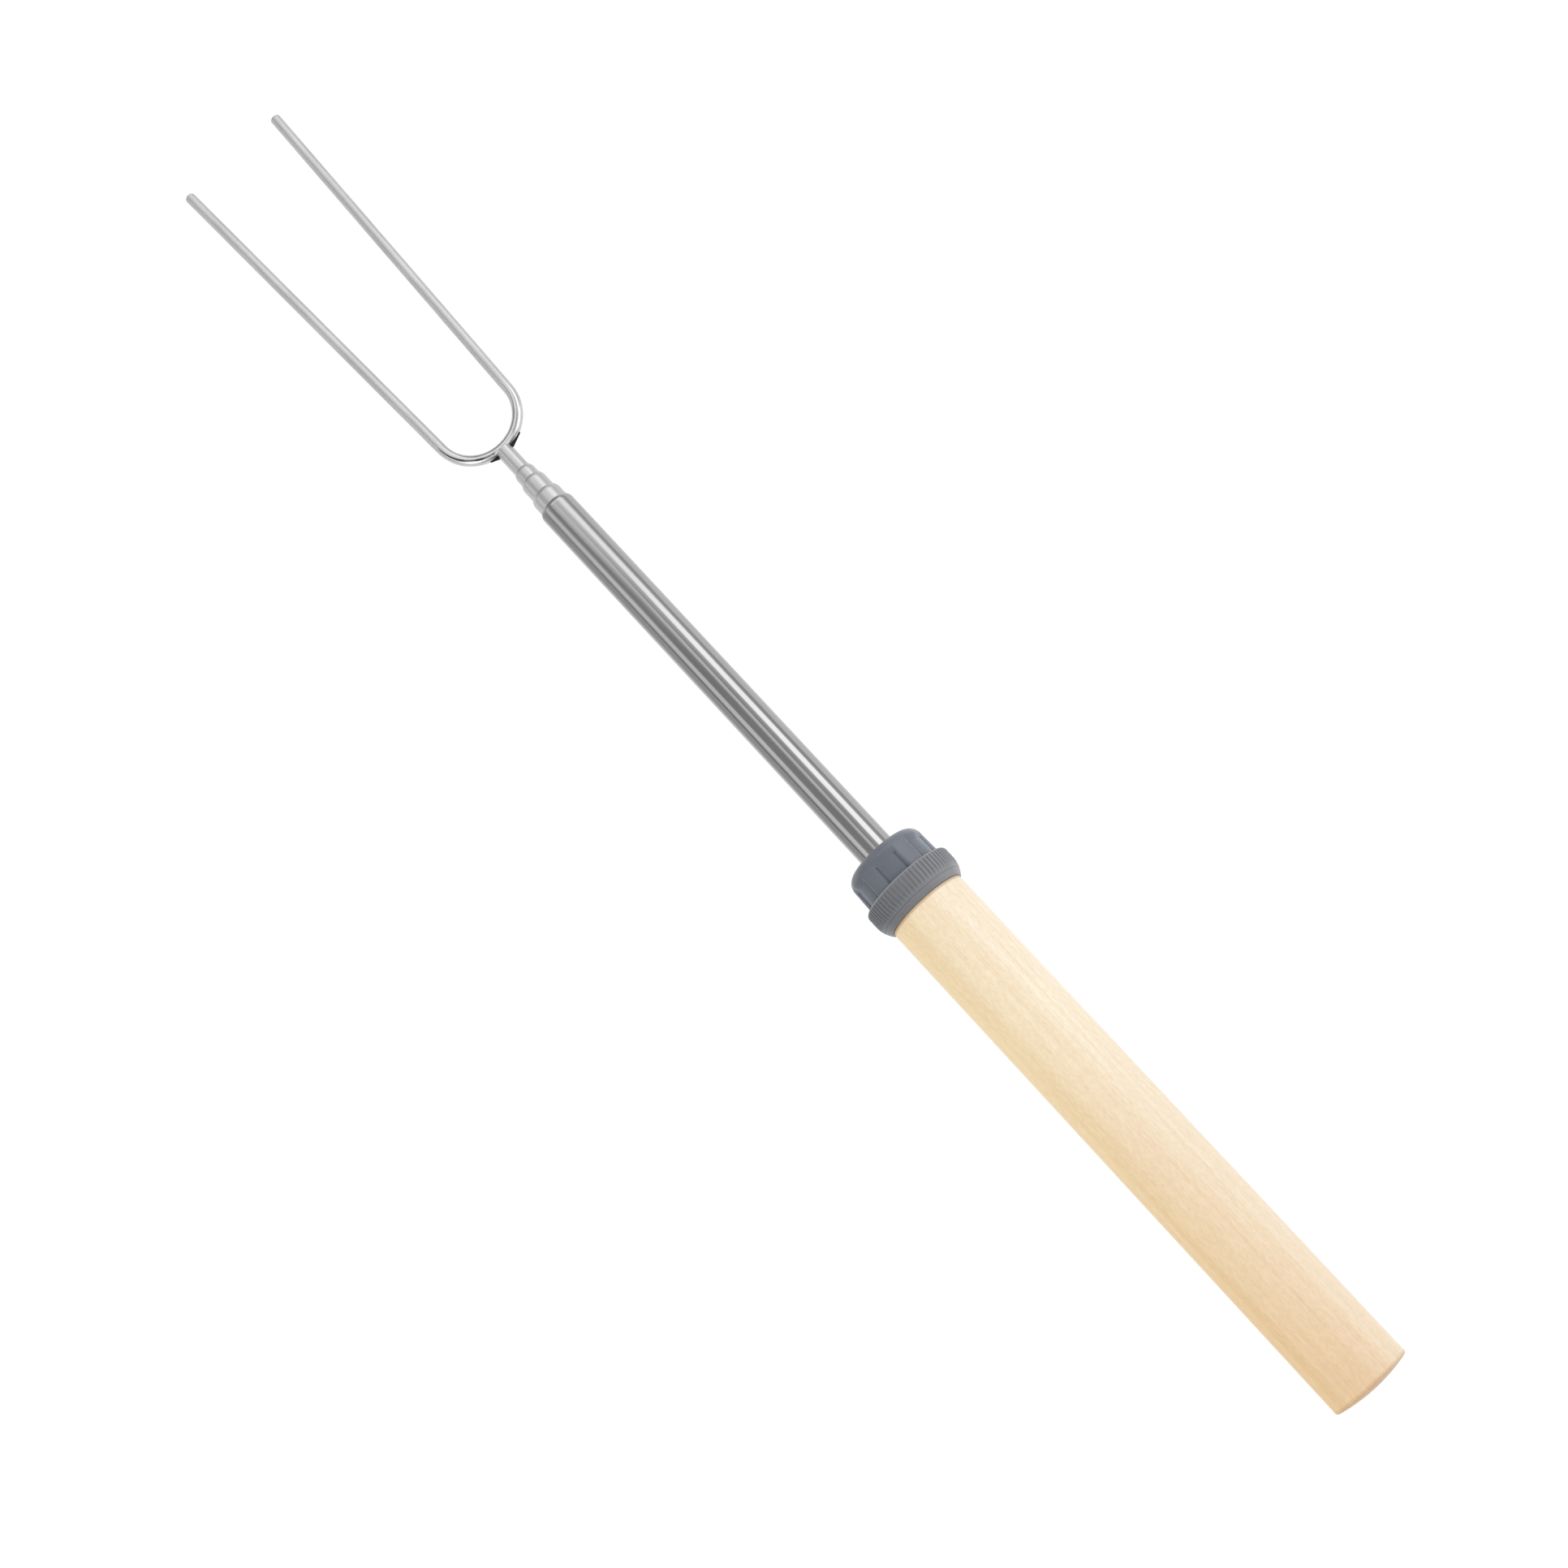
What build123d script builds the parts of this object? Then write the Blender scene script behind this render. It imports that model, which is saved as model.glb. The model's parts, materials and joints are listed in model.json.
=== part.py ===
from build123d import *

import math
import os

# A telescopic marshmallow roasting fork, collapsed and lying flat. Millimetres.
# +X runs along its axis towards the prong tips, the prongs spread along Y, and +Z is up.
# The origin is on the axis, in the middle of the wooden grip.

# ---- driving dimensions ----

# wooden grip
GRIP_LENGTH = 108.4
GRIP_R = 7.6
BUTT_CROWN = 0.9
BUTT_EDGE_R = 0.5
GRIP_SPIGOT_X = 52.75
GRIP_SPIGOT_R = 7.25
GRIP_FRONT_CHAMFER = 0.3
BUSH_BORE_R = 5.5
BUSH_BORE_DEPTH = 17.7
TUBE_BORE_R = 4.5
TUBE_BORE_DEPTH = 37.2
END_BORE_R = 3.9
END_BORE_DEPTH = 43.7
DRILL_POINT_DEG = 118.0

# telescopic sections, from the outermost: outside diameter, wall, and how far each mouth
# stands ahead of the mouth before it when the fork is pushed together
OUTER_TUBE = (7.0, 0.25, 0.0)
SECTION_4 = (6.0, 0.25, 3.2)
SECTION_3 = (5.0, 0.25, 3.7)
SECTION_2 = (4.15, 0.225, 2.6)
ROD_D = 3.3
ROD_END_AHEAD = 5.6
OUTER_MOUTH_X = 154.7
OUTER_TUBE_LENGTH = 140.0
SWAGE_LENGTH = 1.0
MOUTH_EDGE = 0.1
MOUTH_CLEARANCE = 0.05
BEAD_CLEARANCE = 0.05
TAIL_LIP = 0.6
TAIL_NECK = 8.0
STOP_BEAD = 0.6
STOP_GAP = 0.1

# split friction sleeves, which sit in the necks of the sections' tails
SLEEVE_GAP = 0.02
SLEEVE_END_GAP = 0.1
SLEEVE_SLOT = 0.8

# plug in the outer tube's rear end
PLUG_FLANGE = 1.0
PLUG_STEM = 4.0
PLUG_VENT_R = 0.6
PLUG_TO_SECTIONS = 0.3

# collar: thumb wheel, and the hub cap in front of it
WHEEL_R = 9.05
WHEEL_FRONT_X = 58.4
WHEEL_WEB = 2.95
WHEEL_EDGE_R = 0.7
WHEEL_FLAT = 2.4
WHEEL_BACK_CURVE_R = 5.1
WHEEL_LIP_X = 52.85
LIP_LINE_X = 54.0
LIP_LINE_R = 0.08
SKIRT_BORE_R = 7.4
RIB_COUNT = 68
RIB_GROOVE_R = 0.265
RIB_GROOVE_CENTRE_R = 9.0
HUB_R = 5.5
HUB_LENGTH = 4.7
PRESS_GAP = 0.01
CAP_FRONT_X = 65.2
CAP_FRONT_R = 7.7
CAP_REAR_R = 7.9
CAP_EDGE_R = 2.2
CAP_REAR_GAP = 0.1
CAP_FIT = 0.02
CAP_BORE_GAP = 0.03
FLUTE_COUNT = 6
FLUTE_FLOOR_DEG = 32.0
FLUTE_MOUTH_DEG = 42.0
FLUTE_PHASE_DEG = 0.0
FLUTE_DEPTH = 0.42
FLUTE_FOOT_R = 0.2
FLUTE_END_X = 63.15
FLUTE_RUNOUT = 0.9

# bearings of the tube in the grip
RUNNING_GAP = 0.05
BUSH_FLANGE_R = 6.5
BUSH_FLANGE = 0.8
BUSH_LENGTH = 11.7
BUSH_FIT = 0.01
REAR_BUSH_LENGTH = 8.0
WASHER_R = 6.3
WASHER_BORE_R = 3.7
WASHER_THICKNESS = 0.4
FACE_GAP = 0.02
RING_R = 5.1
RING_THICKNESS = 0.3
RING_CONE = 0.4
RING_TEETH = 8
RING_SLOT = 0.7
RING_TOOTH_DEPTH = 0.9
RING_GAP = 0.2

# fork
WIRE_R = 1.05
BEND_R = 8.4
SPLAY_DEG = 2.19
TIP_X = 254.2
TIP_EDGE_R = 0.35
SADDLE_DEPTH = 0.55

# weld beads between wire and rod: how far round the bend each reaches
WELD_LEFT_DEG = 19.5
WELD_RIGHT_DEG = 27.0
WELD_ROOT_R = 0.6
WELD_END_R = 0.2
WELD_SETBACK = 0.2
WELD_STANDOFF = 0.05
WELD_SEAM_DEG = 40.0

# ---- sizes that follow ----

GRIP_FRONT_X = GRIP_LENGTH / 2
GRIP_REAR_X = -GRIP_LENGTH / 2
TUBE_REAR_X = OUTER_MOUTH_X - OUTER_TUBE_LENGTH
TAIL_X = TUBE_REAR_X + PLUG_STEM + PLUG_TO_SECTIONS
STOP_X = TAIL_X + TAIL_LIP + TAIL_NECK + STOP_BEAD
TUBE_R = OUTER_TUBE[0] / 2
MOUTH_4_X = OUTER_MOUTH_X + SECTION_4[2]
MOUTH_3_X = MOUTH_4_X + SECTION_3[2]
MOUTH_2_X = MOUTH_3_X + SECTION_2[2]
ROD_END_X = MOUTH_2_X + ROD_END_AHEAD
WIRE_X = ROD_END_X + WIRE_R - SADDLE_DEPTH
BEND_X = WIRE_X + BEND_R
WASHER_X = GRIP_FRONT_X + BUSH_FLANGE + FACE_GAP
WEB_REAR_X = WHEEL_FRONT_X - WHEEL_WEB


def turned(edges):
    """The solid of revolution about X of a closed outline in the XY plane."""
    return revolve(make_face(edges), Axis.X)


def ring(start_x, end_x, inner_r, outer_r):
    """A plain ring about X."""
    corners = [(start_x, inner_r), (end_x, inner_r), (end_x, outer_r), (start_x, outer_r)]
    return turned(Polyline(corners, close=True))


def rim(solid, x):
    """The largest full circle about X among a turned solid's edges at a place along it."""
    circles = solid.edges().filter_by(GeomType.CIRCLE).filter_by(lambda edge: edge.is_closed)
    return circles.filter_by_position(Axis.X, x - 0.01, x + 0.01).sort_by(SortBy.RADIUS).last


def around(count, phase_deg=0.0):
    """Turns about X, evenly spaced from +Z towards +Y."""
    return [Rot(X=-(phase_deg + 360.0 * i / count)) for i in range(count)]


# ---- wooden grip ----


def handle_grip():
    """Round grip: crowned butt, front end turned down to enter the wheel's skirt, stepped bore."""
    bush_end = GRIP_FRONT_X - BUSH_BORE_DEPTH
    tube_end = GRIP_FRONT_X - TUBE_BORE_DEPTH
    end = GRIP_FRONT_X - END_BORE_DEPTH
    point = end - END_BORE_R / math.tan(math.radians(DRILL_POINT_DEG / 2))
    crown = TangentArc(
        (GRIP_REAR_X - BUTT_CROWN, 0), (GRIP_REAR_X, GRIP_R), tangent=(0, 1)
    )
    outside = Polyline(
        crown @ 1,
        (GRIP_SPIGOT_X, GRIP_R),
        (GRIP_SPIGOT_X, GRIP_SPIGOT_R),
        (GRIP_FRONT_X - GRIP_FRONT_CHAMFER, GRIP_SPIGOT_R),
        (GRIP_FRONT_X, GRIP_SPIGOT_R - GRIP_FRONT_CHAMFER),
        (GRIP_FRONT_X, BUSH_BORE_R),
        (bush_end, BUSH_BORE_R),
        (bush_end, TUBE_BORE_R),
        (tube_end, TUBE_BORE_R),
        (tube_end, END_BORE_R),
        (end, END_BORE_R),
        (point, 0),
        crown @ 0,
    )
    grip = turned(crown + outside)
    return fillet(rim(grip, GRIP_REAR_X), BUTT_EDGE_R)


# ---- telescopic sections ----


def mouth(mouth_x, outer_r, bore_r, inside_r):
    """Edges of a rolled-in mouth, from the outside of the tube round to its bore."""
    lip_r = inside_r + MOUTH_CLEARANCE
    root_x = mouth_x - SWAGE_LENGTH
    outside = TangentArc((root_x, outer_r), (mouth_x, lip_r + MOUTH_EDGE), tangent=(1, 0))
    inside = TangentArc((root_x, bore_r), (mouth_x - MOUTH_EDGE, lip_r), tangent=(1, 0))
    edge = Line(outside @ 1, inside @ 1)
    return outside + edge + inside


def tail(bead_r, body_r):
    """Points along the outside of a section's rear end: lip, neck for the sleeve, stop bead."""
    neck_x = TAIL_X + TAIL_LIP
    bead_x = neck_x + TAIL_NECK
    return [
        (TAIL_X, bead_r),
        (neck_x, bead_r),
        (neck_x, body_r),
        (bead_x, body_r),
        (bead_x, bead_r),
        (STOP_X, bead_r),
        (STOP_X, body_r),
    ]


def plain_tube(size, rear_x, mouth_x, inside_r):
    """The outermost tube: a straight rear end and a rolled-in mouth."""
    outer_r = size[0] / 2
    bore_r = outer_r - size[1]
    front = mouth(mouth_x, outer_r, bore_r, inside_r)
    root_x = mouth_x - SWAGE_LENGTH
    body = Polyline((root_x, bore_r), (rear_x, bore_r), (rear_x, outer_r), (root_x, outer_r))
    return turned(front + body)


def section_tube(size, mouth_x, parent, inside_r):
    """A sliding tube, with a stop bead and a neck on its tail and a rolled-in mouth."""
    outer_r = size[0] / 2
    bore_r = outer_r - size[1]
    bead_r = parent[0] / 2 - parent[1] - BEAD_CLEARANCE
    front = mouth(mouth_x, outer_r, bore_r, inside_r)
    root_x = mouth_x - SWAGE_LENGTH
    body = Polyline(
        (root_x, bore_r), (TAIL_X, bore_r), *tail(bead_r, outer_r), (root_x, outer_r)
    )
    return turned(front + body)


def section_rod(parent, wire):
    """The innermost section: a solid rod whose front end is notched to seat the wire."""
    bead_r = parent[0] / 2 - parent[1] - BEAD_CLEARANCE
    rod_r = ROD_D / 2
    outline = Polyline(
        (TAIL_X, 0), *tail(bead_r, rod_r), (ROD_END_X, rod_r), (ROD_END_X, 0), close=True
    )
    return turned(outline) - wire


def friction_sleeve(inner_d, parent):
    """A split sleeve round a section's neck, a sliding fit in the tube around it."""
    start_x = TAIL_X + TAIL_LIP + SLEEVE_END_GAP
    end_x = TAIL_X + TAIL_LIP + TAIL_NECK - SLEEVE_END_GAP
    bore_r = inner_d / 2 + SLEEVE_GAP
    outer_r = parent[0] / 2 - parent[1] - SLEEVE_GAP
    length = end_x - start_x
    slot = Pos((start_x + end_x) / 2, 0, outer_r) * Box(length + 1, SLEEVE_SLOT, outer_r)
    return ring(start_x, end_x, bore_r, outer_r) - slot


def tube_end_plug():
    """A flanged plug with an air vent, pressed into the rear of the outer tube."""
    stem_r = TUBE_R - OUTER_TUBE[1] - SLEEVE_GAP
    flange = ring(TUBE_REAR_X - PLUG_FLANGE, TUBE_REAR_X, PLUG_VENT_R, TUBE_R)
    stem = ring(TUBE_REAR_X, TUBE_REAR_X + PLUG_STEM, PLUG_VENT_R, stem_r)
    return flange + stem


# ---- collar ----


def wheel_back_r(x):
    """Outside radius of the wheel where its back curves in towards the lip."""
    reach = WHEEL_FRONT_X - WHEEL_FLAT - x
    return WHEEL_R - WHEEL_BACK_CURVE_R + math.sqrt(WHEEL_BACK_CURVE_R**2 - reach**2)


def thumb_wheel():
    """Ribbed wheel on the tube: web and hub inside, a skirt over the end of the grip."""
    bore_r = TUBE_R + PRESS_GAP
    hub_x = WHEEL_FRONT_X + HUB_LENGTH
    corner_x = WHEEL_FRONT_X - WHEEL_EDGE_R
    flat_end_x = WHEEL_FRONT_X - WHEEL_FLAT
    lip_r = wheel_back_r(WHEEL_LIP_X)
    corner = TangentArc(
        (corner_x, WHEEL_R), (WHEEL_FRONT_X, WHEEL_R - WHEEL_EDGE_R), tangent=(1, 0)
    )
    back = TangentArc((flat_end_x, WHEEL_R), (WHEEL_LIP_X, lip_r), tangent=(-1, 0))
    flat = Line(corner @ 0, back @ 0)
    inside = Polyline(
        back @ 1,
        (WHEEL_LIP_X, SKIRT_BORE_R),
        (WEB_REAR_X, SKIRT_BORE_R),
        (WEB_REAR_X, bore_r),
        (hub_x, bore_r),
        (hub_x, HUB_R),
        (WHEEL_FRONT_X, HUB_R),
        corner @ 1,
    )
    wheel = turned(corner + flat + back + inside)
    lip_line = Pos(LIP_LINE_X, wheel_back_r(LIP_LINE_X)) * Circle(LIP_LINE_R)
    wheel -= revolve(lip_line, Axis.X)
    groove = Pos((WHEEL_FRONT_X + WHEEL_LIP_X) / 2, 0, RIB_GROOVE_CENTRE_R) * Rot(Y=90)
    cutter = groove * Cylinder(RIB_GROOVE_R, WHEEL_FRONT_X - WHEEL_LIP_X + 1)
    return wheel - [turn * cutter for turn in around(RIB_COUNT)]


def hub_cap():
    """Fluted cap over the wheel's hub, with a rounded front edge and a slight draft."""
    rear_x = WHEEL_FRONT_X + CAP_REAR_GAP
    pocket_x = WHEEL_FRONT_X + HUB_LENGTH + CAP_REAR_GAP
    pocket_r = HUB_R + CAP_FIT
    bore_r = TUBE_R + CAP_BORE_GAP
    outline = Polyline(
        (rear_x, pocket_r),
        (pocket_x, pocket_r),
        (pocket_x, bore_r),
        (CAP_FRONT_X, bore_r),
        (CAP_FRONT_X, CAP_FRONT_R),
        (rear_x, CAP_REAR_R),
        close=True,
    )
    cap = turned(outline)
    cap = fillet(rim(cap, CAP_FRONT_X), CAP_EDGE_R)
    return cap - [turn * flute_cutter(rear_x) for turn in around(FLUTE_COUNT, FLUTE_PHASE_DEG)]


def flute_cutter(rear_x):
    """The topmost flute: sloping walls with a fine groove at each foot, a run-out in front."""
    clear_r = CAP_REAR_R + 2
    along = Polyline(
        (rear_x - 1, CAP_REAR_R - FLUTE_DEPTH),
        (FLUTE_END_X - FLUTE_RUNOUT, CAP_FRONT_R - FLUTE_DEPTH),
        (FLUTE_END_X + FLUTE_RUNOUT, CAP_FRONT_R + FLUTE_DEPTH),
        (FLUTE_END_X + FLUTE_RUNOUT, clear_r),
        (rear_x - 1, clear_r),
        close=True,
    )
    foot = Vector(0, 0, CAP_REAR_R - FLUTE_DEPTH).rotate(Axis.X, -FLUTE_FLOOR_DEG / 2)
    crest = Vector(0, 0, CAP_REAR_R).rotate(Axis.X, -FLUTE_MOUTH_DEG / 2)
    low = foot * 2 - crest
    high = crest * 2 - foot
    across = Polyline(
        (low.Y, low.Z),
        (high.Y, high.Z),
        (high.Y, clear_r),
        (-high.Y, clear_r),
        (-high.Y, high.Z),
        (-low.Y, low.Z),
        close=True,
    )
    length = CAP_FRONT_X - rear_x + 2
    prism = Pos(rear_x - 1, 0, 0) * extrude(Plane.YZ * make_face(across), length)
    groove_length = FLUTE_END_X - FLUTE_RUNOUT - rear_x + 1
    groove = Rot(Y=90) * Cylinder(
        FLUTE_FOOT_R, groove_length, align=(Align.CENTER, Align.CENTER, Align.MIN)
    )
    left = Pos(rear_x - 1, foot.Y, foot.Z) * groove
    right = Pos(rear_x - 1, -foot.Y, foot.Z) * groove
    return (turned(along) & prism) + left + right


# ---- bearings in the grip ----


def front_bearing_bush():
    """Flanged bush in the mouth of the grip."""
    bore_r = TUBE_R + RUNNING_GAP
    body = ring(GRIP_FRONT_X - BUSH_LENGTH, GRIP_FRONT_X, bore_r, BUSH_BORE_R - BUSH_FIT)
    flange = ring(GRIP_FRONT_X, GRIP_FRONT_X + BUSH_FLANGE, bore_r, BUSH_FLANGE_R)
    return body + flange


def rear_bearing_bush():
    """Plain bush on the shoulder of the deeper bore."""
    shoulder_x = GRIP_FRONT_X - TUBE_BORE_DEPTH
    bore_r = TUBE_R + RUNNING_GAP
    return ring(shoulder_x, shoulder_x + REAR_BUSH_LENGTH, bore_r, TUBE_BORE_R - BUSH_FIT)


def thrust_washer():
    """Flat washer between the bush's flange and the wheel's web."""
    return ring(WASHER_X, WASHER_X + WASHER_THICKNESS, WASHER_BORE_R, WASHER_R)


def retaining_ring():
    """Coned star-lock ring whose teeth bite on the tube behind the front bush."""
    front_x = GRIP_FRONT_X - BUSH_LENGTH - RING_GAP
    bore_r = TUBE_R + PRESS_GAP
    tooth_r = bore_r + RING_TOOTH_DEPTH
    outline = Polyline(
        (front_x, tooth_r),
        (front_x, RING_R),
        (front_x - RING_THICKNESS, RING_R),
        (front_x - RING_THICKNESS, tooth_r),
        (front_x - RING_THICKNESS - RING_CONE, bore_r),
        (front_x - RING_CONE, bore_r),
        close=True,
    )
    slot_height = RING_TOOTH_DEPTH + 1
    slot = Pos(front_x, 0, bore_r + slot_height / 2 - 1) * Box(4, RING_SLOT, slot_height)
    return turned(outline) - [turn * slot for turn in around(RING_TEETH)]


# ---- fork ----


def fork_prongs():
    """One round wire bent into a U, its straight prongs splayed, its ends cut square."""
    splay = math.radians(SPLAY_DEG)
    tangent_x = BEND_X - BEND_R * math.sin(splay)
    tangent_y = BEND_R * math.cos(splay)
    tip_y = tangent_y + (TIP_X - tangent_x) * math.tan(splay)
    left = Line((TIP_X, tip_y), (tangent_x, tangent_y))
    bend = ThreePointArc((tangent_x, tangent_y), (WIRE_X, 0), (tangent_x, -tangent_y))
    right = Line((tangent_x, -tangent_y), (TIP_X, -tip_y))
    section = Plane(origin=left @ 0, z_dir=left % 0) * Circle(WIRE_R)
    wire = sweep(section, path=left + bend + right)
    tips = wire.edges().filter_by(GeomType.CIRCLE).group_by(Axis.X)[-1]
    return fillet(tips, TIP_EDGE_R)


def weld_bead(side, reach_deg, wire):
    """A bead in the corner of rod and wire, thinning out along the back of the bend."""
    root = Vector(ROD_END_X - WELD_SETBACK, side * (ROD_D / 2 + WELD_STANDOFF), 0)
    back_r = BEND_R + WIRE_R
    reach = math.radians(reach_deg)
    end = Vector(BEND_X - back_r * math.cos(reach), side * back_r * math.sin(reach), 0)
    length = (end - root).length
    root_cap = TangentArc((-WELD_ROOT_R, 0), (0, WELD_ROOT_R), tangent=(0, 1))
    flank = Line((0, WELD_ROOT_R), (length, WELD_END_R))
    end_cap = TangentArc((length, WELD_END_R), (length + WELD_END_R, 0), tangent=(1, 0))
    drop = turned(root_cap + flank + end_cap + Line(end_cap @ 1, root_cap @ 0))
    drop = Plane(origin=root, x_dir=end - root, z_dir=(0, 0, 1)) * Rot(X=WELD_SEAM_DEG) * drop
    rod_end = Pos(ROD_END_X, 0, 0) * Rot(Y=-90) * Cylinder(
        ROD_D / 2, TAIL_NECK, align=(Align.CENTER, Align.CENTER, Align.MIN)
    )
    return drop - rod_end - wire


# ---- the assembly ----


def assembly():
    """Every node's solid, by name."""
    wire = fork_prongs()
    rod = section_rod(SECTION_2, wire)
    return {
        "handle_grip": handle_grip(),
        "front_bearing_bush": front_bearing_bush(),
        "rear_bearing_bush": rear_bearing_bush(),
        "thrust_washer": thrust_washer(),
        "thumb_wheel": thumb_wheel(),
        "hub_cap": hub_cap(),
        "retaining_ring": retaining_ring(),
        "outer_tube": plain_tube(OUTER_TUBE, TUBE_REAR_X, OUTER_MOUTH_X, SECTION_4[0] / 2),
        "tube_end_plug": tube_end_plug(),
        "section_4_tube": section_tube(SECTION_4, MOUTH_4_X, OUTER_TUBE, SECTION_3[0] / 2),
        "section_3_tube": section_tube(SECTION_3, MOUTH_3_X, SECTION_4, SECTION_2[0] / 2),
        "section_2_tube": section_tube(SECTION_2, MOUTH_2_X, SECTION_3, ROD_D / 2),
        "section_1_rod": rod,
        "friction_sleeve_4": friction_sleeve(SECTION_4[0], OUTER_TUBE),
        "friction_sleeve_3": friction_sleeve(SECTION_3[0], SECTION_4),
        "friction_sleeve_2": friction_sleeve(SECTION_2[0], SECTION_3),
        "friction_sleeve_1": friction_sleeve(ROD_D, SECTION_2),
        "fork_prongs": wire,
        "weld_bead_left": weld_bead(1, WELD_LEFT_DEG, wire),
        "weld_bead_right": weld_bead(-1, WELD_RIGHT_DEG, wire),
    }


def travel(parent_mouth_x):
    """How far a section slides out before its stop bead reaches the mouth around it."""
    return parent_mouth_x - SWAGE_LENGTH - STOP_GAP - STOP_X


os.makedirs("parts", exist_ok=True)
for name, solid in assembly().items():
    solid.label = name
    export_step(solid, f"parts/{name}.step")

for number, parent_mouth_x in [
    (4, OUTER_MOUTH_X),
    (3, MOUTH_4_X),
    (2, MOUTH_3_X),
    (1, MOUTH_2_X),
]:
    print(f"section {number} slides out {travel(parent_mouth_x):.2f} mm")
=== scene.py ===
import json
import math

import bpy
from mathutils import Matrix, Vector


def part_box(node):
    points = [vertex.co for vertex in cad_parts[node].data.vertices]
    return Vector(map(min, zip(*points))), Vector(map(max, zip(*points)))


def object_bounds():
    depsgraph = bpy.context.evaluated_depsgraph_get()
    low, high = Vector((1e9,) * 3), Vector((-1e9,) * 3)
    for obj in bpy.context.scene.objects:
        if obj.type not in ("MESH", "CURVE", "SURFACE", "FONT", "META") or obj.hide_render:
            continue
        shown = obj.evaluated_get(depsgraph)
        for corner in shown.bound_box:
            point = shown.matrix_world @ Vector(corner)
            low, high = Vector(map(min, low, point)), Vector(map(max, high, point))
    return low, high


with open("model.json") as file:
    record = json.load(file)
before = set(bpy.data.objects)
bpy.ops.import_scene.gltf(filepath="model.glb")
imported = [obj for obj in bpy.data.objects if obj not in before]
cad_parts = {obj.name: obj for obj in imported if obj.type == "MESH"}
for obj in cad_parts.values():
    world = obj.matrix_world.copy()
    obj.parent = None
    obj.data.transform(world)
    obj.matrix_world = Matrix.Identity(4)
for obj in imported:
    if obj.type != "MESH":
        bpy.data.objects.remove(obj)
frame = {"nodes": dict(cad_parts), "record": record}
bpy.context.view_layer.update()
CAD_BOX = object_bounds()

# The fork lies along X with its prong tips at +X and its prongs spread along Y. Metres.

# ---- camera ----

CAMERA_DISTANCE = 0.430
CAMERA_TILT = math.radians(15.0)
CAMERA_TURN = math.radians(47.24)
CAMERA_LENS = 55.9
SENSOR_WIDTH = 36.0
CLIP_START, CLIP_END = 0.01, 50.0
AIM_AHEAD_OF_COLLAR = 0.0210
AIM_ASIDE = 0.0039


def add_camera():
    """Looks down on the prongs' plane, leaning towards the butt, with the tips at the upper left."""
    collar_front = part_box("hub_cap")[1].x
    aim = Vector((collar_front + AIM_AHEAD_OF_COLLAR, AIM_ASIDE, 0.0))
    along, aside = math.cos(CAMERA_TURN), math.sin(CAMERA_TURN)
    lean, rise = math.sin(CAMERA_TILT), math.cos(CAMERA_TILT)
    right = Vector((-along * rise, -aside, -along * lean))
    up = Vector((aside * rise, -along, aside * lean))
    back = Vector((-lean, 0.0, rise))
    turn = Matrix((right, up, back)).transposed().to_4x4()
    data = bpy.data.cameras.new("camera")
    data.lens = CAMERA_LENS
    data.sensor_width = SENSOR_WIDTH
    data.clip_start = CLIP_START
    data.clip_end = CLIP_END
    camera = bpy.data.objects.new("camera", data)
    camera.matrix_world = Matrix.Translation(aim + back * CAMERA_DISTANCE) @ turn
    bpy.context.scene.collection.objects.link(camera)
    bpy.context.scene.camera = camera


add_camera()

# ---- shader nodes ----


def node(tree, kind, inputs=None, **settings):
    """Adds a shader node. An input is a value, or the output socket that feeds it."""
    made = tree.nodes.new("ShaderNode" + kind)
    for key, value in settings.items():
        setattr(made, key, value)
    for key, value in (inputs or {}).items():
        if isinstance(value, bpy.types.NodeSocket):
            tree.links.new(value, made.inputs[key])
        else:
            made.inputs[key].default_value = value
    return made


def new_material(name):
    """A material with an empty Principled shader: the tree and the shader."""
    material = bpy.data.materials.new(name)
    material.use_nodes = True
    tree = material.node_tree
    return material, tree, tree.nodes["Principled BSDF"]


def own_place(tree):
    """The place in the piece's own coordinates, in metres."""
    return node(tree, "TexCoord").outputs["Object"]


def split_xyz(tree, vector):
    """The X, Y and Z of a vector output."""
    split = node(tree, "SeparateXYZ", {"Vector": vector})
    return tuple(split.outputs[axis] for axis in "XYZ")


def noise(tree, scale, detail=2.0, roughness=0.5, distortion=0.0):
    """A noise value from 0 to 1, stretched by a scale per metre along each axis."""
    stretched = node(tree, "Mapping", {"Vector": own_place(tree), "Scale": scale})
    made = node(
        tree,
        "TexNoise",
        {
            "Vector": stretched.outputs["Vector"],
            "Scale": 1.0,
            "Detail": detail,
            "Roughness": roughness,
            "Distortion": distortion,
        },
    )
    return made.outputs["Fac"]


def remap(tree, value, low, high, to_low, to_high):
    """The value's range low to high mapped on to_low to to_high, and clamped."""
    made = node(
        tree,
        "MapRange",
        {"Value": value, "From Min": low, "From Max": high, "To Min": to_low, "To Max": to_high},
    )
    return made.outputs["Result"]


def mixed(tree, factor, first, second, blend_type="MIX"):
    """Two colours mixed by a factor."""
    made = node(tree, "Mix", data_type="RGBA", blend_type=blend_type)
    for key, value in (("Factor", factor), ("A", first), ("B", second)):
        sockets = [s for s in made.inputs if s.name == key and s.enabled]
        if isinstance(value, bpy.types.NodeSocket):
            tree.links.new(value, sockets[0])
        else:
            sockets[0].default_value = value
    return [s for s in made.outputs if s.enabled][0]


def math_node(tree, operation, *values):
    """The result of a math node on values or output sockets."""
    return node(tree, "Math", dict(enumerate(values)), operation=operation).outputs[0]


def product(tree, first, *others):
    """The product of values or output sockets."""
    for other in others:
        first = math_node(tree, "MULTIPLY", first, other)
    return first


def distance_out(tree, first, second):
    """The length of two perpendicular distances put together."""
    squares = math_node(
        tree, "ADD", product(tree, first, first), product(tree, second, second)
    )
    return math_node(tree, "SQRT", squares)


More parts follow.
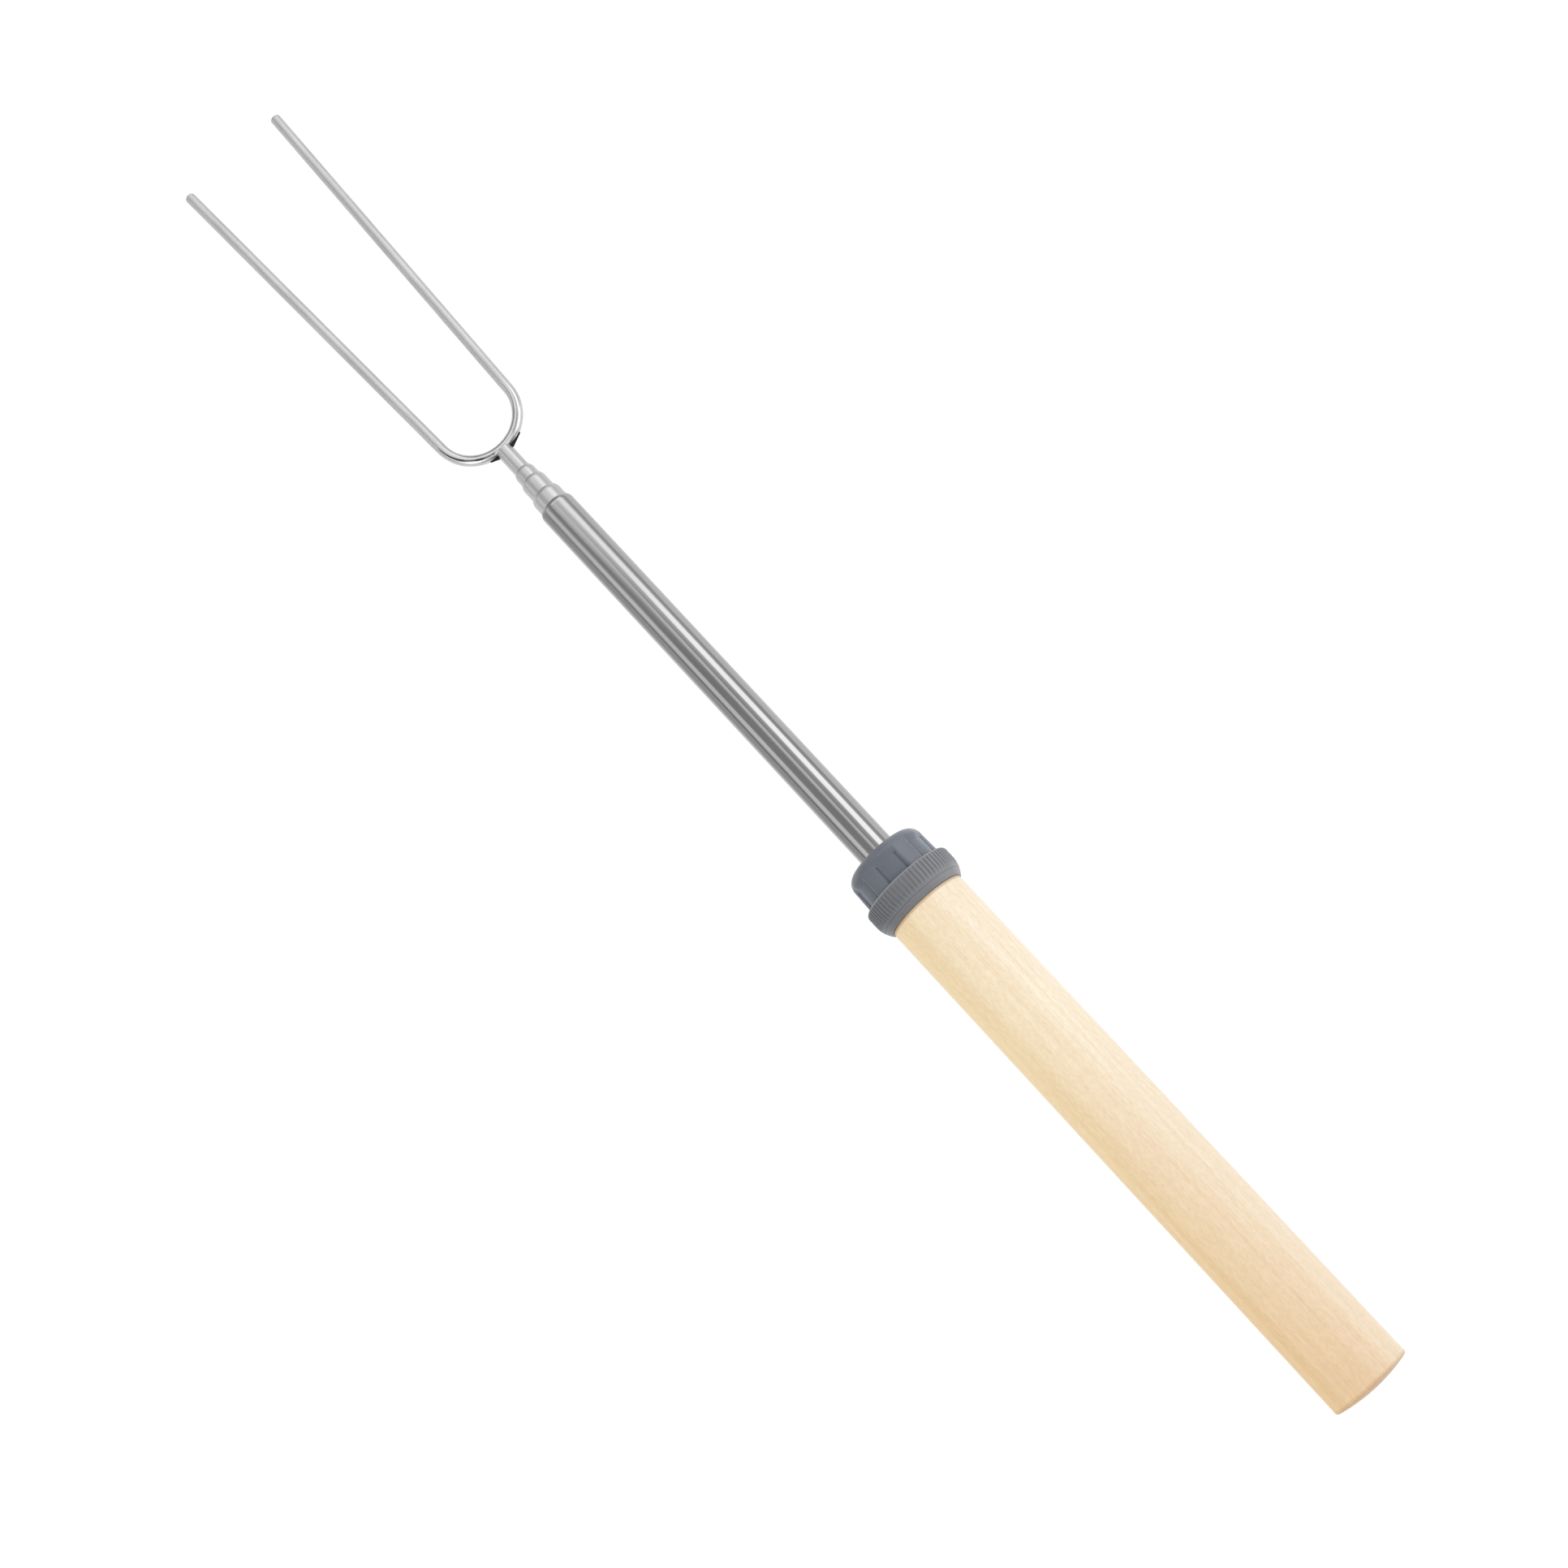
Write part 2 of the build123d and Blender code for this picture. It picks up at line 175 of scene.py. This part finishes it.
def shaded(colour, factor):
    """The colour with its red, green and blue scaled."""
    return tuple(factor * channel for channel in colour[:3]) + (1.0,)


def bump(tree, height, distance, strength, normal=None):
    """A bump from a height between 0 and 1, its full depth in metres."""
    inputs = {"Height": height, "Distance": distance, "Strength": strength}
    if normal is not None:
        inputs["Normal"] = normal
    return node(tree, "Bump", inputs).outputs["Normal"]


def feed(tree, shader, **inputs):
    """Sets or links the Principled shader's inputs, named with underscores for spaces."""
    for key, value in inputs.items():
        socket = shader.inputs[key.replace("_", " ")]
        if isinstance(value, bpy.types.NodeSocket):
            tree.links.new(value, socket)
        else:
            socket.default_value = value


# ---- materials ----

GRIP_ENDS = (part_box("handle_grip")[0].x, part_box("thumb_wheel")[0].x)
GRIP_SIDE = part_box("handle_grip")[1].y
TUBE_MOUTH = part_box("outer_tube")[1].x
BEND_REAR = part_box("fork_prongs")[0].x
CAP_REAR, CAP_FRONT = (corner.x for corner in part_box("hub_cap"))
WHEEL_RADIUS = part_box("thumb_wheel")[1].z

# wood
PITH = (0.0, 0.011, 0.016)
RING_STRETCH = (0.08, 1.0, 1.0)
RINGS_PER_METRE = 230.0
COLLAR_BROWN_REACH = (0.0007, 0.0004)
BUTT_BROWN_REACH = (0.0017, 0.0011)
PALE_WOOD = (0.915, 0.850, 0.720, 1.0)
WARM_BAND = (0.937, 0.860, 0.755, 1.0)
# tints for the painted sheen on the -Y side and the painted shade on the +Y side
AWAY_FROM_SHEEN_TINT = (1.0, 0.928, 0.838, 1.0)
SHADED_SIDE_YELLOW = (1.0, 0.952, 0.800, 1.0)
PEACH = (0.855, 0.730, 0.620, 1.0)
MOTTLE = (0.940, 0.905, 0.850, 1.0)
DARK_GRAIN = (0.640, 0.430, 0.235, 1.0)
BROWN_EDGE_TONE = (0.400, 0.210, 0.090, 1.0)

# steel: the painted dark reflection band lies between two distances from the axis towards +Y, with
# soft edges
SMEAR = 0.84
DARK_REFLECTION_TONE = 0.45
BAND_INNER_EDGE = (0.0022, 0.0027)
BAND_OUTER_EDGE = (0.0030, 0.0034)
WORN_LENGTH = 0.05

# prong wire: the painted dark reflection line runs along an arc about the bend's centre, by angle
# from its middle
BEND_REACH = (BEND_REAR + 0.0065, BEND_REAR + 0.0110)
BEND_CENTRE = (BEND_REAR + 0.00945, 0.0, 0.0)
REFLECTION_LINE_RADIUS = 0.00873
REFLECTION_LINE_HALF_WIDTH = (0.00010, 0.00020)
REFLECTION_LINE_START = (math.radians(9.0), math.radians(13.0))
REFLECTION_LINE_FADE = (math.radians(35.0), math.radians(80.0))
REFLECTION_LINE_END = (math.radians(84.0), math.radians(90.0))
WELD_PLACE = (BEND_REAR - 0.0002, 0.0, 0.0)
HEAT_REACH = (0.0018, 0.0036)
HEAT_RAGGED = 0.0006
PALE_WIRE = (0.60, 0.60, 0.605, 1.0)
GREY_WIRE = (0.53, 0.53, 0.535, 1.0)
HEAT_AND_REFLECTION_BLACK = (0.02, 0.018, 0.017, 1.0)
SOOT = (0.006, 0.006, 0.006, 1.0)
SCALE_CRUST = (0.032, 0.029, 0.027, 1.0)
BRONZE_LOW = (0.62, 0.36, 0.16, 1.0)
BRONZE_HIGH = (0.74, 0.46, 0.22, 1.0)

# plastic: the flutes' angles are from the middle of a flute
COLLAR_SIDE = 0.0075
FLANK_ANGLE = (1.05, 1.25)
PLASTIC_FLOW = (0.86, 0.86, 0.86, 1.0)
HOLLOW_SHADE_GREY = (0.5, 0.5, 0.5, 1.0)
HIGHLIGHT_PALE_PLASTIC = (0.36, 0.365, 0.38, 1.0)
FLUTE_COUNT = 6
FLUTE_FOOT = (math.radians(8.0), math.radians(16.0))
FLUTE_EDGE = (math.radians(17.5), math.radians(20.5))
FLUTE_FRONT = (0.0020, 0.0014)
SHADE_CUTOFF_ANGLE = (1.0, 1.3)
HIGHLIGHT_CORNER = (0.0006, 0.00035)
RIB_DEPTH = (0.00022, 0.00003)
RIB_REAR = (0.0035, 0.0025)


def wood():
    """Pale close-grained wood, sanded smooth: growth rings about an off-centre pith, long
    bands, fine fibres and short ray flecks, a painted sheen paler on the -Y side, painted shade
    yellower on the +Y side, darker and peachier towards the butt, and a brown line at the collar and
    at the butt."""
    material, tree, shader = new_material("pale_wood")
    log = node(
        tree, "Mapping", {"Vector": own_place(tree), "Location": PITH, "Scale": RING_STRETCH}
    )
    rings = node(
        tree,
        "TexWave",
        {
            "Vector": log.outputs["Vector"],
            "Scale": RINGS_PER_METRE,
            "Distortion": 3.5,
            "Detail": 2.0,
            "Detail Scale": 0.6,
            "Detail Roughness": 0.55,
        },
        wave_type="RINGS",
        rings_direction="X",
        wave_profile="SAW",
    ).outputs["Fac"]
    bands = noise(tree, (9.0, 330.0, 330.0), 3.0, 0.55, 0.6)
    fibres = noise(tree, (110.0, 5600.0, 5600.0), 3.0, 0.6)
    patches = noise(tree, (26.0, 75.0, 75.0), 2.0)
    flecks = noise(tree, (620.0, 5200.0, 5200.0), 1.0)
    mottle = noise(tree, (900.0, 1900.0, 1900.0), 3.0, 0.65)
    along, aside, _ = split_xyz(tree, own_place(tree))
    butt_x, shoulder_x = GRIP_ENDS
    middle_x = 0.75 * shoulder_x + 0.25 * butt_x
    warm = remap(tree, bands, 0.35, 0.7, 0.0, 0.75)
    colour = mixed(tree, warm, PALE_WOOD, WARM_BAND, "MULTIPLY")
    # painted sheen leaves the -Y side paler; painted shade makes the middle and +Y side yellower
    off_sheen_side = remap(tree, aside, -0.75 * GRIP_SIDE, 0.0, 0.0, 1.0)
    colour = mixed(tree, off_sheen_side, colour, AWAY_FROM_SHEEN_TINT, "MULTIPLY")
    shade_side = remap(tree, aside, 0.0, 0.8 * GRIP_SIDE, 0.0, 1.0)
    colour = mixed(tree, shade_side, colour, SHADED_SIDE_YELLOW, "MULTIPLY")
    butt_ward = remap(tree, along, middle_x, butt_x, 0.0, 1.0)
    off_top = remap(tree, math_node(tree, "ABSOLUTE", aside), 0.0, GRIP_SIDE, 1.1, 0.75)
    blush = product(tree, butt_ward, off_top, remap(tree, patches, 0.35, 0.65, 0.8, 1.0))
    colour = mixed(tree, blush, colour, PEACH, "MULTIPLY")
    mottled = remap(tree, mottle, 0.38, 0.62, 0.0, 0.8)
    colour = mixed(tree, mottled, colour, MOTTLE, "MULTIPLY")
    colour = mixed(tree, remap(tree, rings, 0.72, 1.0, 0.0, 0.14), colour, DARK_GRAIN)
    colour = mixed(tree, remap(tree, fibres, 0.52, 0.8, 0.0, 0.34), colour, DARK_GRAIN)
    colour = mixed(tree, remap(tree, flecks, 0.66, 0.78, 0.0, 0.42), colour, DARK_GRAIN)
    # brown lines on the wood next to the collar and at the butt end
    at_collar = (shoulder_x - inset for inset in COLLAR_BROWN_REACH)
    colour = mixed(tree, remap(tree, along, *at_collar, 0.0, 0.5), colour, BROWN_EDGE_TONE)
    at_butt = (butt_x + inset for inset in BUTT_BROWN_REACH)
    colour = mixed(tree, remap(tree, along, *at_butt, 0.0, 0.38), colour, BROWN_EDGE_TONE)
    grain = bump(tree, fibres, 0.00003, 0.5)
    feed(
        tree,
        shader,
        Base_Color=colour,
        Roughness=remap(tree, fibres, 0.2, 0.8, 0.46, 0.62),
        Specular_IOR_Level=0.5,
        Normal=bump(tree, rings, 0.00002, 0.4, grain),
    )
    return material


def drawn_steel(name, tint, rough_range, streak_depth, wave_depth, reflection_band=0.0, wear_and_highlight=0.0):
    """Drawn steel: fine streaks along the tube in its roughness and its surface, faint waves
    left by the dies, soft handling smears, a painted dark reflection band along the +Y flank and a
    more worn mouth."""
    material, tree, shader = new_material(name)
    streaks = noise(tree, (14.0, 4200.0, 4200.0), 4.0, 0.65)
    waves = noise(tree, (18.0, 330.0, 330.0), 2.0)
    smears = noise(tree, (45.0, 500.0, 500.0), 3.0)
    smeared = remap(tree, smears, 0.4, 0.75, 0.0, 0.6)
    colour = mixed(tree, smeared, tint, shaded(tint, SMEAR))
    along, aside, _ = split_xyz(tree, own_place(tree))
    # painted reflection: a dark band along the +Y flank
    inner = remap(tree, aside, *BAND_INNER_EDGE, 0.0, 1.0)
    outer = remap(tree, aside, *BAND_OUTER_EDGE, reflection_band, 0.0)
    colour = mixed(tree, product(tree, inner, outer), colour, shaded(tint, DARK_REFLECTION_TONE))
    rough = remap(tree, streaks, 0.3, 0.75, *rough_range)
    wear_and_highlights = remap(tree, along, TUBE_MOUTH - WORN_LENGTH, TUBE_MOUTH, 0.0, wear_and_highlight)
    rough = math_node(tree, "ADD", rough, wear_and_highlights)
    fine = bump(tree, streaks, streak_depth, 0.6)
    feed(
        tree,
        shader,
        Base_Color=colour,
        Metallic=1.0,
        Roughness=rough,
        Normal=bump(tree, waves, wave_depth, 0.5, fine),
    )
    return material


def painted_reflection_line(tree, waves):
    """A painted reflection: a dark, broken line along the top of the bend, on its +Y half."""
    out = node(tree, "VectorMath", {0: own_place(tree), 1: BEND_CENTRE}, operation="SUBTRACT")
    x, y, z = split_xyz(tree, out.outputs["Vector"])
    off_radius = math_node(tree, "SUBTRACT", distance_out(tree, x, y), REFLECTION_LINE_RADIUS)
    line = remap(tree, math_node(tree, "ABSOLUTE", off_radius), *REFLECTION_LINE_HALF_WIDTH, 1.0, 0.0)
    angle = math_node(tree, "ARCTAN2", y, math_node(tree, "MULTIPLY", x, -1.0))
    start = remap(tree, angle, *REFLECTION_LINE_START, 0.0, 1.0)
    fade = remap(tree, angle, *REFLECTION_LINE_FADE, 1.0, 0.6)
    end = remap(tree, angle, *REFLECTION_LINE_END, 1.0, 0.0)
    broken = remap(tree, waves, 0.42, 0.52, 0.6, 0.97)
    top = remap(tree, z, 0.0, 0.0003, 0.0, 1.0)
    return product(tree, line, top, start, fade, end, broken)


def prong_wire():
    """Stainless wire: satin along the straight prongs, burnished on the bend, blackened by heat
    beside the welds, and with a painted dark reflection line along the bend."""
    material, tree, shader = new_material("prong_wire")
    streaks = noise(tree, (30.0, 3800.0, 3800.0), 4.0, 0.65)
    waves = noise(tree, (120.0, 700.0, 700.0), 2.0)
    along, _, up = split_xyz(tree, own_place(tree))
    satin = remap(tree, streaks, 0.3, 0.75, 0.42, 0.52)
    bright = remap(tree, streaks, 0.3, 0.75, 0.20, 0.28)
    polish = remap(tree, along, *BEND_REACH, 1.0, 0.0)
    rough = node(tree, "Mix", data_type="FLOAT")
    for socket, value in zip(rough.inputs[0:1] + rough.inputs[2:4], (polish, satin, bright)):
        tree.links.new(value, socket)
    steel = mixed(tree, remap(tree, waves, 0.35, 0.7, 0.0, 1.0), PALE_WIRE, GREY_WIRE)
    from_weld = node(
        tree, "VectorMath", {0: own_place(tree), 1: WELD_PLACE}, operation="DISTANCE"
    ).outputs["Value"]
    ragged = remap(tree, waves, 0.3, 0.7, -HEAT_RAGGED, HEAT_RAGGED)
    near = remap(tree, math_node(tree, "ADD", from_weld, ragged), *HEAT_REACH, 0.9, 0.0)
    flank = remap(tree, up, 0.0009, 0.0005, 0.0, 1.0)
    # the black covers the real heat marks by the welds and the painted reflection line on the bend
    heat_and_reflection_line = math_node(tree, "MAXIMUM", product(tree, near, flank), painted_reflection_line(tree, waves))
    fine = bump(tree, streaks, 0.0000015, 0.6)
    feed(
        tree,
        shader,
        Base_Color=mixed(tree, heat_and_reflection_line, steel, HEAT_AND_REFLECTION_BLACK),
        Metallic=1.0,
        Roughness=rough.outputs[0],
        Normal=bump(tree, waves, 0.000012, 0.5, fine),
    )
    return material


def moulded_plastic(name, tint, roughness, painted_side_light=(1.0, 1.0), flank_sheen=1.0, hollow_shade=None, wear_and_highlights=None):
    """Satin moulded plastic: fine spark-eroded grain and slightly uneven tone, painted shade on
    its +Y side and painted light on its -Y side by the two side factors, a painted grazing sheen
    below its flanks, painted shade in its hollows, a painted highlight and paler places, and a dusty
    sheen."""
    material, tree, shader = new_material(name)
    grain = noise(tree, (9000.0, 9000.0, 9000.0), 2.0, 0.6)
    flow = noise(tree, (160.0, 300.0, 300.0), 3.0)
    _, aside, _ = split_xyz(tree, own_place(tree))
    # painted light towards the -Y side and painted shade towards the +Y side
    toward_lit_side = remap(tree, aside, COLLAR_SIDE, -COLLAR_SIDE, 0.0, 1.0)
    colour = mixed(tree, toward_lit_side, *(shaded(tint, factor) for factor in painted_side_light))
    _, _, angle = around_axis(tree)
    # painted grazing sheen: paler low on the flanks
    low = remap(tree, math_node(tree, "ABSOLUTE", angle), *FLANK_ANGLE, 0.0, 1.0)
    colour = mixed(tree, low, colour, (flank_sheen, flank_sheen, flank_sheen, 1.0), "MULTIPLY")
    flowed = remap(tree, flow, 0.3, 0.7, 0.0, 1.0)
    colour = mixed(tree, flowed, colour, PLASTIC_FLOW, "MULTIPLY")
    # painted shade in the hollows
    if hollow_shade:
        colour = mixed(tree, hollow_shade(tree), colour, HOLLOW_SHADE_GREY, "MULTIPLY")
    # a painted highlight and paler places, where given
    if wear_and_highlights:
        colour = wear_and_highlights(tree, colour)
    feed(
        tree,
        shader,
        Base_Color=colour,
        Roughness=remap(tree, grain, 0.3, 0.7, roughness - 0.06, roughness + 0.06),
        Specular_IOR_Level=0.5,
        Sheen_Weight=0.2,
        Sheen_Roughness=0.35,
        Normal=bump(tree, grain, 0.000012, 0.5),
    )
    return material


def around_axis(tree):
    """The place along X, the distance from the axis, and the angle from +Z towards +Y."""
    x, y, z = split_xyz(tree, own_place(tree))
    return x, distance_out(tree, y, z), math_node(tree, "ARCTAN2", y, z)


def flute_painted_shade(tree):
    """Painted shade over the floors of the cap's flutes, a little darker at their feet. It is left
    off low on the flanks."""
    x, _, angle = around_axis(tree)
    turn = math_node(tree, "ADD", angle, math.tau / FLUTE_COUNT / 2)
    within = math_node(tree, "WRAP", turn, math.tau / FLUTE_COUNT, 0.0)
    off_centre = math_node(tree, "SUBTRACT", within, math.tau / FLUTE_COUNT / 2)
    off_centre = math_node(tree, "ABSOLUTE", off_centre)
    inside = remap(tree, off_centre, *FLUTE_FOOT, 0.25, 0.28)
    outside = remap(tree, off_centre, *FLUTE_EDGE, 1.0, 0.0)
    front = (CAP_FRONT - inset for inset in FLUTE_FRONT)
    behind = remap(tree, x, *front, 1.0, 0.0)
    shade_cutoff = remap(tree, math_node(tree, "ABSOLUTE", angle), *SHADE_CUTOFF_ANGLE, 1.0, 0.0)
    return product(tree, inside, outside, behind, shade_cutoff)


def wheel_highlight_and_pale_grooves(tree, colour):
    """The colour, paler between the ribs, and with a painted highlight on the front corner of the
    wheel.
    """
    x, radius, _ = around_axis(tree)
    # painted highlight along the wheel's front corner
    corner = (CAP_REAR - inset for inset in HIGHLIGHT_CORNER)
    wear_and_highlight = remap(tree, x, *corner, 0.0, 0.6)
    rib_radii = (WHEEL_RADIUS - depth for depth in RIB_DEPTH)
    depth = remap(tree, radius, *rib_radii, 0.3, 0.0)
    rear = (CAP_REAR - inset for inset in RIB_REAR)
    ribbed = remap(tree, x, *rear, 0.0, 1.0)
    pale = math_node(tree, "MAXIMUM", wear_and_highlight, product(tree, depth, ribbed))
    return mixed(tree, pale, colour, HIGHLIGHT_PALE_PLASTIC)


def weld_scale():
    """Black, crusted weld metal."""
    material, tree, shader = new_material("weld_scale")
    crust = noise(tree, (2600.0, 2600.0, 2600.0), 4.0, 0.7)
    feed(
        tree,
        shader,
        Base_Color=mixed(tree, remap(tree, crust, 0.45, 0.75, 0.0, 1.0), SOOT, SCALE_CRUST),
        Roughness=remap(tree, crust, 0.3, 0.7, 0.55, 0.8),
        Specular_IOR_Level=0.2,
        Normal=bump(tree, crust, 0.00008, 0.7),
    )
    return material


def strip_bronze():
    """Rolled phosphor bronze strip."""
    material, tree, shader = new_material("strip_bronze")
    lines = noise(tree, (40.0, 3000.0, 3000.0), 3.0, 0.6)
    feed(
        tree,
        shader,
        Base_Color=mixed(tree, remap(tree, lines, 0.3, 0.7, 0.0, 1.0), BRONZE_LOW, BRONZE_HIGH),
        Metallic=1.0,
        Roughness=remap(tree, lines, 0.3, 0.7, 0.22, 0.4),
        Normal=bump(tree, lines, 0.000005, 0.6),
    )
    return material


WHEEL_GREY = (0.158, 0.161, 0.173, 1.0)
CAP_GREY = (0.150, 0.165, 0.199, 1.0)
ACETAL = (0.78, 0.78, 0.74, 1.0)
PLUG_BLACK = (0.03, 0.03, 0.032, 1.0)
BRIGHT_TUBE = (0.42, 0.42, 0.425, 1.0)
SATIN_TUBE = (0.56, 0.56, 0.565, 1.0)
WASHER_GREY = (0.58, 0.58, 0.58, 1.0)
SPRING_GREY = (0.30, 0.30, 0.33, 1.0)
PLAIN_ROUGHNESS = (0.25, 0.4)

MATERIALS = {
    "wood": wood(),
    "wheel_plastic": moulded_plastic(
        "wheel_grey_plastic", WHEEL_GREY, 0.46, painted_side_light=(0.88, 1.5), flank_sheen=1.18, wear_and_highlights=wheel_highlight_and_pale_grooves
    ),
    "cap_plastic": moulded_plastic(
        "cap_grey_plastic", CAP_GREY, 0.42, painted_side_light=(0.74, 1.2), flank_sheen=1.45, hollow_shade=flute_painted_shade
    ),
    "polished_steel": drawn_steel(
        "bright_steel", BRIGHT_TUBE, (0.12, 0.22), 0.0000015, 0.00004, reflection_band=0.8, wear_and_highlight=0.07
    ),
    "satin_steel": drawn_steel("satin_steel", SATIN_TUBE, (0.36, 0.44), 0.000001, 0.000012),
    "wire_steel": prong_wire(),
    "weld": weld_scale(),
    "bearing_plastic": moulded_plastic("acetal", ACETAL, 0.4),
    "plug_plastic": moulded_plastic("black_plastic", PLUG_BLACK, 0.5),
    "washer_steel": drawn_steel("washer_steel", WASHER_GREY, PLAIN_ROUGHNESS, 0.000003, 0.00001),
    "spring_steel": drawn_steel("spring_steel", SPRING_GREY, PLAIN_ROUGHNESS, 0.000003, 0.00001),
    "bronze": strip_bronze(),
}

for subpart in frame["record"]["subparts"]:
    cad = frame["nodes"][subpart["node"]]
    for slot in cad.material_slots:
        slot.material = MATERIALS[subpart["material_slot"]]

# ---- stage and light ----

FLOOR_SIZE = 20.0
FLOOR_GLOW = 0.96
FLOOR_GREY = (0.08, 0.08, 0.08, 1.0)
WHITE = (1.0, 1.0, 1.0, 1.0)
STUDIO_STRENGTH = 0.40
STRIP_DISTANCE = 0.8

# Each softbox: its name, the side it stands on in degrees from +Z towards +Y, its width in
# degrees as the axis sees it, where it starts and ends along X, and its radiance.
STRIPS = (
    ("tube_key", -51.0, 30.0, 0.10, 0.44, 1.75),
    ("tube_key_far", -51.0, 30.0, 0.44, 0.62, 1.30),
    ("tube_key_halo", -51.0, 66.0, 0.10, 0.62, 0.20),
    ("prong_key", -51.0, 34.0, 0.62, 1.1, 1.25),
    ("tube_zenith", -3.0, 15.0, 0.10, 0.50, 0.66),
    ("prong_zenith", -8.0, 56.0, 0.50, 1.1, 0.95),
    ("tube_fill", 60.0, 25.0, 0.10, 1.1, 0.76),
    ("grip_key", -58.0, 52.0, -0.65, 0.06, 1.62),
    ("grip_top", 0.0, 40.0, -0.65, 0.06, 1.06),
    ("grip_fill", 54.0, 50.0, -0.65, 0.06, 1.50),
)


def add_floor():
    """A plain white floor under the fork, mostly lit from within like a light table."""
    mesh = bpy.data.meshes.new("floor")
    half = FLOOR_SIZE / 2
    z = CAD_BOX[0].z
    corners = [(-half, -half, z), (half, -half, z), (half, half, z), (-half, half, z)]
    mesh.from_pydata(corners, [], [(0, 1, 2, 3)])
    floor = bpy.data.objects.new("floor", mesh)
    bpy.context.scene.collection.objects.link(floor)
    material, tree, shader = new_material("pale_floor")
    feed(
        tree,
        shader,
        Base_Color=FLOOR_GREY,
        Roughness=0.9,
        Specular_IOR_Level=0.0,
        Emission_Color=WHITE,
        Emission_Strength=FLOOR_GLOW,
    )
    mesh.materials.append(material)


def add_world():
    """A dim, even studio around the fork."""
    world = bpy.data.worlds.new("studio")
    bpy.context.scene.world = world
    world.use_nodes = True
    background = world.node_tree.nodes["Background"]
    background.inputs["Color"].default_value = WHITE
    background.inputs["Strength"].default_value = STUDIO_STRENGTH


def add_strip(name, around_x, width, start_x, end_x, radiance):
    """A softbox along the fork that faces its axis, around_x degrees from +Z towards +Y."""
    data = bpy.data.lights.new(name, "AREA")
    data.shape = "RECTANGLE"
    data.size = end_x - start_x
    data.size_y = 2 * STRIP_DISTANCE * math.tan(math.radians(width) / 2)
    data.energy = radiance * math.pi * data.size * data.size_y
    light = bpy.data.objects.new(name, data)
    turn = Matrix.Rotation(-math.radians(around_x), 4, "X")
    middle = Vector(((start_x + end_x) / 2, 0.0, 0.0))
    out = Matrix.Translation((0, 0, STRIP_DISTANCE))
    light.matrix_world = Matrix.Translation(middle) @ turn @ out
    bpy.context.scene.collection.objects.link(light)


add_floor()
add_world()
for strip in STRIPS:
    add_strip(*strip)
bpy.context.scene.view_settings.view_transform = "Standard"
bpy.context.scene.view_settings.look = "None"
